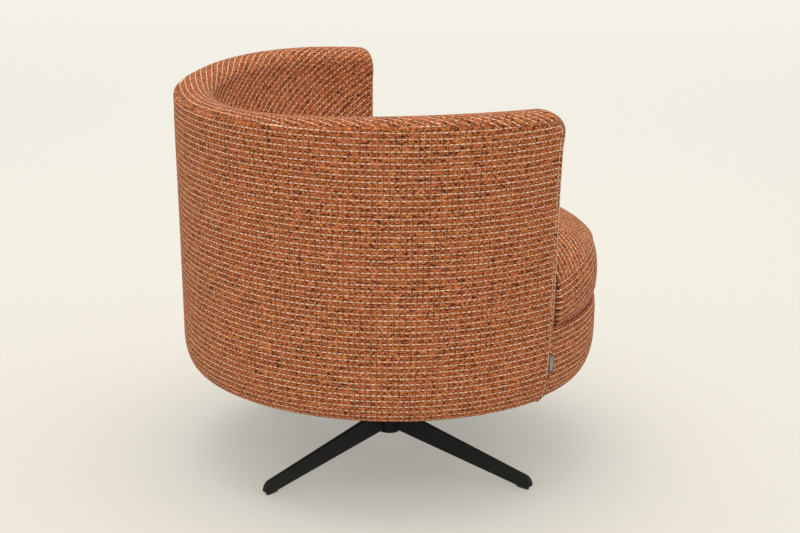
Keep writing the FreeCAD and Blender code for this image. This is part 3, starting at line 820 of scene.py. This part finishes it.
cushion = {
    "radius": 0.359,
    "bottom": 0.2978,
    "wallGap": 0.0025,
    "wallHeight": 0.383,  # where the gap to the well is measured
    "armGap": 0.0155,
    "armHeight": 0.45,
    "seamHeight": 0.3915,
    "seamDepth": 0.0092,
    "cornerSoftness": 0.007,
    "middle": (0.0, -0.100),
    "crown": 0.4640,
    "droop": 0.024,  # how far the seam sags at the ears in front of the arms
    "droopAngles": (108, 140),
    "ringDepth": 0.020,  # rows keep the outline's shape this far in
    "ringStep": 0.0017,
    # side seen from the front: how far in from the widest line, and how high
    "side": [(0.0095, 0.2978), (0.0062, 0.3014), (0.0036, 0.3070), (0.0014, 0.3165),
             (0.0003, 0.3300), (0.0, 0.3430), (0.0006, 0.3540), (0.0018, 0.3650),
             (0.0036, 0.3740), (0.0058, 0.3810), (0.0080, 0.3870), (0.0098, 0.3915)],
    # top from the seam to the middle, in the same way
    "top": [(0.0092, 0.3938), (0.0125, 0.3975), (0.0170, 0.4015), (0.0230, 0.4058),
            (0.0320, 0.4115), (0.0440, 0.4178), (0.0580, 0.4236), (0.0720, 0.4288),
            (0.0880, 0.4342), (0.1200, 0.4440), (0.1600, 0.4545), (0.2000, 0.4610),
            (0.2300, 0.4635)],
    # hollows of use: place, depth and spread
    "dents": [(0.06, -0.05, 0.0030, 0.020), (-0.09, -0.02, 0.0024, 0.012)],
    "ripple": 0.0008,
    "columns": 420,
}
cushionMiddle = np.array(cushion["middle"])


def smoothClosed(values, spread, step):
    # Gaussian smoothing of a closed, evenly spaced line
    reach = max(1, int(3 * spread / step))
    kernel = np.exp(-0.5 * (np.arange(-reach, reach + 1) * step / spread) ** 2)
    kernel /= kernel.sum()
    padded = np.concatenate([values[-reach:], values, values[:reach]])
    return np.stack([np.convolve(padded[:, k], kernel, "valid") for k in range(2)], axis=1)


def evenly(points, count):
    closed = np.concatenate([points, points[:1]])
    run = runAlong(closed)
    places = np.linspace(0, run[-1], count, endpoint=False)
    return np.stack([np.interp(places, run, closed[:, k]) for k in range(2)], axis=1), run[-1]


def cushionPlan():
    # outline seen from above: full round in front, narrower between the arms
    side = float(frontAngle(cushion["armHeight"])) + cushion["armGap"] / cushion["radius"]
    front = np.linspace(math.pi, side, 90)
    back = np.linspace(side - 0.02, 0, 110)
    wall = circleReach(back, inWell(cushion["wallHeight"], "centres"),
                       inWell(cushion["wallHeight"], "radii") - cushion["wallGap"])
    half = np.concatenate([roundPoints(front, 0.0, cushion["radius"])[:, :2],
                           roundPoints(back, 0.0, wall)[:, :2]])
    return np.concatenate([half, half[-2:0:-1] * np.array([-1.0, 1.0])])


def lineNormals(line):
    step = np.roll(line, -1, axis=0) - np.roll(line, 1, axis=0)
    normal = np.stack([step[:, 1], -step[:, 0]], axis=1)
    normal /= np.linalg.norm(normal, axis=1, keepdims=True)
    return normal * np.sign((normal * (line - cushionMiddle)).sum())


def softDepth(places, outline):
    # how deep a place lies inside the outline, evened out the way stretched cloth is
    ahead = np.roll(outline, -1, axis=0) - outline
    total = np.zeros(len(places))
    for spot, weight in zip(outline + ahead / 2, np.linalg.norm(ahead, axis=1)):
        total += weight / ((places - spot) ** 2).sum(axis=1)
    return math.pi / total


def cushionDroop(plan):
    angle = np.degrees(np.abs(np.arctan2(plan[:, 0], plan[:, 1])))
    reach = np.linalg.norm(plan, axis=1)
    forward = smoothStep(angle, *cushion["droopAngles"])
    return cushion["droop"] * (1 - forward) * smoothStep(reach, 0.25, 0.33)


def topHeights(outline):
    # depth inside the outline against height, read along the front's middle line
    line = np.array([(0.0, depth - cushion["radius"]) for depth, _ in cushion["top"]])
    deepest = float(softDepth(cushionMiddle[None], outline)[0])
    depths = np.append(softDepth(line, outline), deepest)
    heights = [height for _, height in cushion["top"]] + [cushion["crown"]]
    even = np.linspace(depths[0], deepest, 500)
    raised = np.interp(even, depths, heights)
    spread = np.exp(-0.5 * (np.arange(-30, 31) / 12) ** 2)
    rounded = np.convolve(np.pad(raised, 30, mode="edge"), spread / spread.sum(), "valid")
    early = smoothStep(even, depths[0], depths[0] + 0.010)
    return even, raised * (1 - early) + rounded * early


def cushionRings():
    # rows of the cushion from the middle of its underside over the side to the crown
    count = cushion["columns"]
    plan, length = evenly(cushionPlan(), count)
    widest = smoothClosed(plan, cushion["cornerSoftness"], length / count)
    widest, length = evenly(widest, count)
    outline, _ = evenly(widest, 1800)
    outward = lineNormals(widest)
    droop = cushionDroop(widest)
    rearward = smoothStep(np.linalg.norm(widest, axis=1), 0.335, 0.29)
    seat = float(inWell(cushion["wallHeight"], "radii"))
    rows = []
    foot = widest - outward * cushion["side"][0][0]
    for share in np.linspace(0, 1, 8)[1:-1][::-1]:
        rows.append((foot * (1 - share) + cushionMiddle * share,
                     np.full(count, cushion["bottom"])))
    for depth, height in cushion["side"]:
        shift = min(0.0, float(inWell(height, "radii")) - seat) * rearward[:, None]
        sag = droop * smoothStep(height, cushion["bottom"] + 0.004, cushion["seamHeight"])
        rows.append((widest + outward * (shift - depth), height - sag))
    seamRow = len(rows) - 1
    # the top's rows follow the outline at first and then draw together at the middle
    above = [widest - outward * cushion["seamDepth"]]
    inset = cushion["seamDepth"]
    while inset < cushion["ringDepth"] - 1e-6:
        ring = above[-1] - lineNormals(above[-1]) * cushion["ringStep"]
        above.append(smoothClosed(ring, 0.003, length / count))
        inset += cushion["ringStep"]
    ring = above[-1]
    for share in np.linspace(0, 1, 34)[1:-1] ** 1.25:
        above.append(ring * (1 - share) + cushionMiddle * share)
    depths, heights = topHeights(outline)
    for ring in above:
        depth = softDepth(ring, outline)
        sag = cushionDroop(ring) * np.exp(-np.maximum(depth - cushion["seamDepth"], 0) / 0.035)
        rows.append((ring, np.interp(depth, depths, heights) - sag))
    return rows, seamRow


def cushionCloth(grid, seamRow, faces):
    # arc length outward from the middle gives the top panel's cloth, height the side's
    count = grid.shape[1]
    top = grid.shape[0] * count
    step = np.linalg.norm(np.diff(grid, axis=0), axis=2)
    inward = summed(step[::-1])[::-1]
    last = np.linalg.norm(grid[-1] - np.array([*cushionMiddle, cushion["crown"]]), axis=1)
    plan = grid[..., :2] - cushionMiddle
    planReach = np.maximum(np.linalg.norm(plan, axis=2, keepdims=True), 1e-6)
    topCloth = plan / planReach * (inward + last)[..., None]
    seamRing = grid[seamRow, :, :2]
    around = runAlong(np.concatenate([seamRing, seamRing[:1]]))
    up = summed(step)
    up = up - up[seamRow] + cushion["seamHeight"]
    cloth = []
    for face in faces:
        cells = [divmod(v, count) for v in face if v < top]
        onTop = min(row for row, _ in cells) >= seamRow
        closing = {column for _, column in cells} == {0, count - 1}
        panel = panelNumber["cushionTop" if onTop else "cushionSide"]
        for v in face:
            row, column = divmod(v, count)
            if v >= top:
                cloth.append((0.0, 0.0, panel))
            elif onTop:
                cloth.append((*topCloth[row, column], panel))
            else:
                along = around[count if closing and column == 0 else column]
                cloth.append((along, up[row, column], panel))
    return cloth


def makeCushion():
    rings, seamRow = cushionRings()
    grid = np.array([np.concatenate([plan, height[:, None]], axis=1) for plan, height in rings])
    # a used cushion: shallow hollows and a few soft waves
    x, y, z = grid[..., 0], grid[..., 1], grid[..., 2]
    worn = cushion["ripple"] * np.sin(x * 41 + y * 23)
    for dentX, dentY, depth, spread in cushion["dents"]:
        worn = worn - depth * np.exp(-((x - dentX) ** 2 + (y - dentY) ** 2) / spread)
    grid[..., 2] = z + worn * smoothStep(z, 0.425, 0.445)
    rows, count = grid.shape[:2]
    faces = gridFaces(rows, count, closed=True)
    top = rows * count
    crown = grid[-1, :, 2].mean() + 0.0002
    points = np.concatenate([grid.reshape(-1, 3), [[*cushionMiddle, crown],
                                                   [*cushionMiddle, cushion["bottom"]]]])
    for j in range(count):
        faces.append((top - count + j, top - count + (j + 1) % count, top))
        faces.append(((j + 1) % count, j, top + 1))
    piece = meshPiece("seatCushion", points, faces, cushionCloth(grid, seamRow, faces), rustWeave,
                      "CORNER")
    cleanMesh(piece)
    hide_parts("cushion_core", "cushion_boxing", "cushion_top_panel")


makeCushion()
print("cushion")


# Thin cloths on the frame: one held under the seat, one over the webbing

dustCloth = {
    "outer": 0.3300,
    "opening": (0.095, 0.115),  # half sizes of the hole for the rocker head
    "heldInside": True,  # by the hole's edge as well as the outer one
    "height": 0.1743,
    "sag": 0.0034,
    "pucker": 0.0005,
    "thickness": 0.0007,
}
platformCloth = {
    "outer": 0.3290,
    "opening": (0.001, 0.001),  # closed but for a pinhole in the middle
    "heldInside": False,
    "height": 0.2955,
    "sag": 0.0012,
    "pucker": 0.0,
    "thickness": 0.0020,
}
puckers = {"outer": 30, "inner": 10}  # how many there are round each edge
sheetRows, sheetColumns = 26, 240
# dark and pale ends of the colour, and the pitch of the weave
thinCloths = {
    "blackBondedCloth": ((0.004, 0.004, 0.004), (0.022, 0.022, 0.022), 0.0012),
    "strapWebbing": ((0.035, 0.028, 0.020), (0.10, 0.085, 0.062), 0.0016),
    "greyFelt": ((0.10, 0.098, 0.095), (0.22, 0.215, 0.21), 0.0009),
}


def makeThinCloth(name):
    # plain cross-woven or bonded cloth for straps, felt and the two sheets
    dark, pale, pitch = thinCloths[name]
    shader = Shader(name, {"Roughness": 0.9})
    place = shader.objectPlace()
    x, y = shader.split(place)[:2]
    over = (x / pitch).ridge()
    under = (y / pitch).ridge()
    weft = over * under + (1.0 - over) * (1.0 - under)
    lint = shader.noise(place, 240.0, 4.0, 0.7)
    shader.surface("Base Color", shader.mix(weft * 0.45 + lint * 0.5, dark, pale))
    shader.bump(weft + lint * 0.5, 0.0004)
    return shader.material


def openingReach(turns, halfX, halfY):
    # distance from the middle to a hole with tight round corners
    return (np.abs(np.sin(turns) / halfX) ** 12 + np.abs(np.cos(turns) / halfY) ** 12) ** (-1 / 12)


def makeSheet(name, look, material):
    # a round cloth, held at its edges and a little slack between them
    turns = fullTurn(sheetColumns)
    hole = openingReach(turns, *look["opening"])
    loose = 1 + 0.18 * np.sin(turns * 3 + 0.7) + 0.10 * np.sin(turns * 7)
    points = []
    for share in np.linspace(0, 1, sheetRows):
        hang = 4 * share * (1 - share) if look["heldInside"] else 1 - share ** 2
        pulled = look["pucker"] * (np.cos(turns * puckers["outer"]) * share ** 6
                                   + np.cos(turns * puckers["inner"]) * (1 - share) ** 6)
        points.append(roundPoints(turns, look["height"] - look["sag"] * hang * loose + pulled,
                                  hole + (look["outer"] - hole) * share))
    piece = meshPiece(name, points, gridFaces(sheetRows, sheetColumns, closed=True), points,
                      material)
    cleanMesh(piece, 0.00005)
    thicken(piece, look["thickness"])
    return piece


blackCloth = makeThinCloth("blackBondedCloth")
underCloth = makeSheet("dustCloth", dustCloth, blackCloth)
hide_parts("dust_cover")
overCloth = makeSheet("platformCloth", platformCloth, blackCloth)
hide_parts("platform_cover")
print("thin cloths")


# Base, mechanism and the hidden frame keep their solids and take their materials

powderCoat = {
    "surface": {"Specular IOR Level": 0.14},
    "dark": (0.0040, 0.0040, 0.0038),
    "dusty": (0.0085, 0.0083, 0.0078),
    "worn": (0.040, 0.039, 0.038),  # metal greying through on sharp edges
    "edgeWidth": 0.0006,
    "edgeSegments": 2,
    "edgeAngle": math.radians(40),
}
turnedSteel = {
    "surface": {"Metallic": 1.0},
    "dull": (0.42, 0.42, 0.41),
    "bright": (0.60, 0.60, 0.58),
    "lineScale": 2600.0,
}
birchPly = {
    "surface": {"Roughness": 0.68},
    "dark": (0.50, 0.32, 0.165),
    "pale": (0.70, 0.50, 0.29),
    "flame": (0.60, 0.40, 0.22),
    "glueLine": (0.34, 0.20, 0.10),
    "layer": 0.003,
}
sawnPine = {
    "surface": {"Roughness": 0.75},
    "rings": [(0.25, (0.62, 0.42, 0.21)), (0.55, (0.72, 0.53, 0.30)), (0.75, (0.50, 0.30, 0.13))],
    "sawPitch": 0.0014,
}
# patches and grain: scale, detail and roughness of the noise
bufferRubber = {
    "surface": {},
    "dark": (0.018, 0.018, 0.018),
    "pale": (0.042, 0.040, 0.038),
    "patches": (120.0, 4.0, 0.65),
    "grain": (120.0, 4.0, 0.65),
    "gloss": (0.65, 0.2),  # roughness, and what the patches add to it
    "relief": (0.0003, 0.5),
}
blackNylon = {
    "surface": {},
    "dark": (0.012, 0.012, 0.012),
    "pale": (0.035, 0.034, 0.033),
    "patches": (90.0, 4.0, 0.6),
    "grain": (1400.0,),
    "gloss": (0.4, 0.25),
    "relief": (0.00015, 0.6),
}


def makePowderCoat():
    shader = Shader("blackPowderCoat", powderCoat["surface"])
    place = shader.objectPlace()
    dust = shader.noise(place, 45.0, 4.0, 0.6)
    pointed = Value(shader, shader.node("NewGeometry").outputs["Pointiness"])
    colour = shader.mix(shader.smooth(dust, 0.45, 0.75) * 0.5, powderCoat["dark"],
                        powderCoat["dusty"])
    colour = shader.mix(shader.smooth(pointed, 0.52, 0.60) * 0.35, colour, powderCoat["worn"])
    shader.surface("Base Color", colour)
    shader.surface("Roughness", 0.36 + dust * 0.14)
    shader.bump(shader.noise(place, 900.0), 0.00012, 0.6)
    return shader.material


def makeTurnedSteel():
    shader = Shader("turnedSteel", turnedSteel["surface"])
    place = shader.objectPlace()
    z = shader.split(place)[2]
    lines = shader.streaks([z], [turnedSteel["lineScale"]], 3.0)
    oil = shader.noise(place, 60.0, 3.0)
    shader.surface("Base Color", shader.mix(oil, turnedSteel["dull"], turnedSteel["bright"]))
    shader.surface("Roughness", 0.16 + lines * 0.18 + oil * 0.15)
    shader.bump(lines, 0.00008, 0.5)
    return shader.material


def makePlywood():
    shader = Shader("birchPly", birchPly["surface"])
    axes = shader.split(shader.objectPlace())
    grain = shader.streaks(axes, (9.0, 160.0, 9.0), 4.0, 0.62)
    flame = shader.streaks(axes, (2.0, 14.0, 2.0), 3.0)
    layers = shader.smooth((axes[2] / birchPly["layer"]).ridge(), 0.7, 1.0)
    colour = shader.mix(grain, birchPly["dark"], birchPly["pale"])
    colour = shader.mix(flame * 0.35, colour, birchPly["flame"])
    shader.surface("Base Color", shader.mix(layers * 0.25, colour, birchPly["glueLine"]))
    shader.bump(grain, 0.0003, 0.5)
    return shader.material


def makeTimber():
    shader = Shader("sawnPine", sawnPine["surface"])
    axes = shader.split(shader.objectPlace())
    rings = shader.streaks(axes, (60.0, 60.0, 6.0), 4.0, 0.6)
    saw = (axes[2] / sawnPine["sawPitch"]).ridge()
    shader.surface("Base Color", shader.ramp(rings, sawnPine["rings"]))
    shader.bump(saw * 0.5 + rings, 0.0003, 0.5)
    return shader.material


def dress(material, *nodes, easeEdges=False):
    for name in nodes:
        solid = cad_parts[name]
        solid.data.materials.clear()
        solid.data.materials.append(material)
        if easeEdges:
            bevel = solid.modifiers.new("easedEdge", "BEVEL")
            bevel.width = powderCoat["edgeWidth"]
            bevel.segments = powderCoat["edgeSegments"]
            bevel.limit_method = "ANGLE"
            bevel.angle_limit = powderCoat["edgeAngle"]


dress(makePowderCoat(), "leg_1", "leg_2", "leg_3", "leg_4", "hub_column", "swivel_bracket",
      "upper_bracket", easeEdges=True)
dress(makeTurnedSteel(), "spindle", "rocker_axle", "retaining_clips", "plank_bolts", "plate_nuts")
dress(makeMottled("bufferRubber", bufferRubber), "rocker_buffer_front", "rocker_buffer_rear")
dress(makeMottled("blackNylon", blackNylon), "glide_1", "glide_2", "glide_3", "glide_4",
      "column_cap", "column_bushes", "pivot_bushes")
dress(makePlywood(), "back_shell", "bottom_board", "seat_plank", "seat_ring", "apron_board")
dress(makeTimber(), "lower_blocks", "upper_blocks", "seat_posts")
dress(makeThinCloth("strapWebbing"), "webbing_long", "webbing_cross")
dress(makeThinCloth("greyFelt"), "platform_felt")
print("solids dressed")


# Camera, light and floor

view = {
    "place": (-2.57636, 1.31805, 1.18844),
    "right": (-0.45755, -0.88912, 0.01068),
    "up": (0.25731, -0.12089, 0.95874),
    "back": (-0.85114, 0.44142, 0.28409),
    "lens": 77.52,
    "farthest": 60.0,
}
# place, aim, size and power
lamps = {
    "keySoft": ((-2.6, 2.4, 3.0), (0, 0, 0.4), (2.6, 2.6), 26),
    "fillSoft": ((-1.8, -3.2, 2.4), (0, 0, 0.4), (2.8, 2.8), 10),
    "topSoft": ((0.3, 0.2, 3.6), (0, 0, 0.3), (2.4, 2.4), 42),
}
studio = {
    "lampColour": (1.0, 0.97, 0.92),
    "skyColour": (1.0, 0.985, 0.965, 1),
    "skyStrength": 0.86,
    "floorReach": 14.0,
    "floor": {"Roughness": 0.85, "Specular IOR Level": 0.1, "Emission Strength": 0.36},
    # painted light on the floor: its tone rises from near the camera to far from it
    "floorPaintedLight": [(0.03, (0.806, 0.783, 0.707)), (0.29, (0.858, 0.832, 0.752)),
                   (0.96, (1.0, 0.985, 0.915))],
}


def makeCamera():
    data = bpy.data.cameras.new("camera")
    data.lens = view["lens"]
    data.clip_end = view["farthest"]
    camera = addToScene("camera", data)
    turn = Matrix([view["right"], view["up"], view["back"]]).transposed()
    camera.matrix_world = Matrix.Translation(view["place"]) @ turn.to_4x4()
    bpy.context.scene.camera = camera


def makeLamp(name, place, aim, size, power):
    data = bpy.data.lights.new(name, "AREA")
    data.shape = "RECTANGLE"
    data.size, data.size_y = size
    data.energy = power
    data.color = studio["lampColour"]
    lamp = addToScene(name, data)
    lamp.location = place
    lamp.rotation_euler = (Vector(aim) - Vector(place)).to_track_quat("-Z", "Y").to_euler()


def makeFloor():
    # a pale sweep that glows a little, so that the shadow stays light
    shader = Shader("studioSweep", studio["floor"])
    place = shader.objectPlace()
    x, y = shader.split(place)[:2]
    # painted light: the floor's colour and glow brighten away from the camera
    away = (x * 0.851 - y * 0.441 + 0.5) / 6.0
    tone = shader.ramp(away, studio["floorPaintedLight"])
    fibre = shader.noise(place, 60.0, 3.0)
    shader.surface("Emission Color", tone)
    shader.surface("Base Color", shader.mix(0.38 + fibre * 0.04, tone, (0.0, 0.0, 0.0)))
    mesh = bpy.data.meshes.new("floor")
    corners = [(-1, -1), (1, -1), (1, 1), (-1, 1)]
    reach = studio["floorReach"]
    mesh.from_pydata([(x * reach, y * reach, 0) for x, y in corners], [], [(0, 1, 2, 3)])
    mesh.materials.append(shader.material)
    addToScene("floor", mesh)


def makeWorld():
    world = bpy.data.worlds.new("studio")
    bpy.context.scene.world = world
    world.use_nodes = True
    sky = world.node_tree.nodes["Background"]
    sky.inputs[0].default_value = studio["skyColour"]
    sky.inputs[1].default_value = studio["skyStrength"]


makeCamera()
makeFloor()
makeWorld()
for name, lamp in lamps.items():
    makeLamp(name, *lamp)
bpy.context.scene.view_settings.view_transform = "Standard"
print("camera, light and floor")
